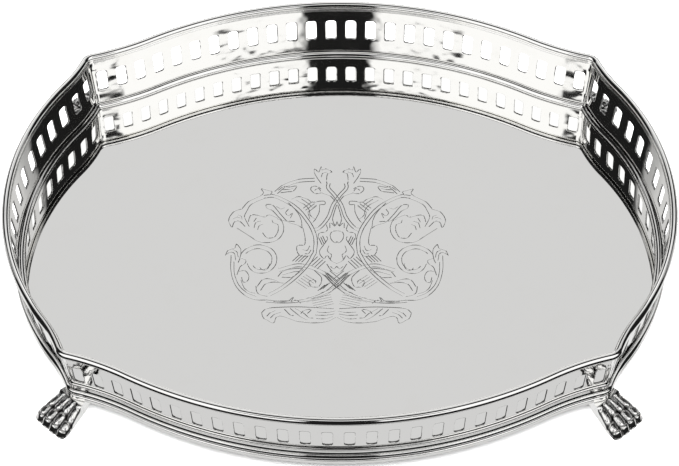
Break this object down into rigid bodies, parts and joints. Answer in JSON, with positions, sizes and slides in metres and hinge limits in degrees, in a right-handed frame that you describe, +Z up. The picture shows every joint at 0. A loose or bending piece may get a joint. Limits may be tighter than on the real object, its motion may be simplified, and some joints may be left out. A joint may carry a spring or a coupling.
{
  "type": "gallery tray",
  "caption": "Lobed metal serving tray with a pierced upright gallery, rounded rim wire and stepped base moulding, standing on cast paw feet.",
  "frame": {"origin": "middle of the tray on the plane that the soles of the feet stand on", "axes": "+X along the tray's length, +Y towards its back, +Z up"},
  "size_m": [0.328, 0.2494, 0.0518],
  "materials": {
    "silver_mirror": "silver plate, mirror polished, engraved in the middle",
    "silver_plate": "silver plate on rolled and drawn strip, polished",
    "silver_cast": "silver plate on castings, polished over darkened recesses"
  },
  "bodies": {
    "root": {"tray_floor": "silver_mirror", "base_moulding_back": "silver_plate", "gallery_back": "silver_plate", "floor_bead_back": "silver_plate", "rim_wire_back": "silver_plate", "base_moulding_front": "silver_plate", "gallery_front": "silver_plate", "floor_bead_front": "silver_plate", "rim_wire_front": "silver_plate", "base_moulding_left": "silver_plate", "gallery_left": "silver_plate", "floor_bead_left": "silver_plate", "rim_wire_left": "silver_plate", "base_moulding_right": "silver_plate", "gallery_right": "silver_plate", "floor_bead_right": "silver_plate", "rim_wire_right": "silver_plate", "paw_foot_back_left": "silver_cast", "paw_foot_back_right": "silver_cast", "paw_foot_front_left": "silver_cast", "paw_foot_front_right": "silver_cast"}
  },
  "joints": []
}
